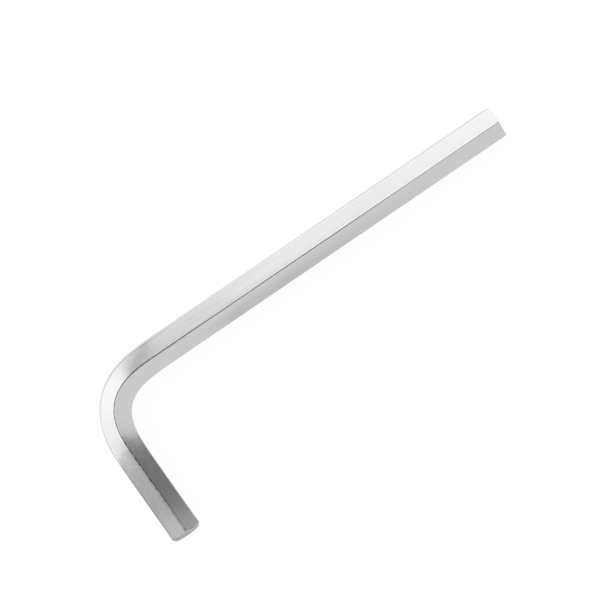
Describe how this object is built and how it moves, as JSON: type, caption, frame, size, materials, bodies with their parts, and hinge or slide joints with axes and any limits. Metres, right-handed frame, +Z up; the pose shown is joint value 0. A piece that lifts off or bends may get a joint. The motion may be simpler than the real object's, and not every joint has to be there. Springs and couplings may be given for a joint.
{
  "type": "hex key",
  "caption": "L-shaped hexagonal bar key with a long and a short arm: either end turns a socket screw, the other arm is the lever.",
  "frame": {"origin": "on the bench, under the middle of the key's outer box as it lies flat", "axes": "+X along the long arm, from the bend to its tip; +Z up, square to the plane of the bend; the short arm points along -Y"},
  "size_m": [0.0782, 0.0284, 0.0057],
  "materials": {
    "plated_steel": "satin nickel plate over a drawn, bent and hardened steel bar"
  },
  "bodies": {
    "root": {"hex_key": "plated_steel"}
  },
  "joints": []
}
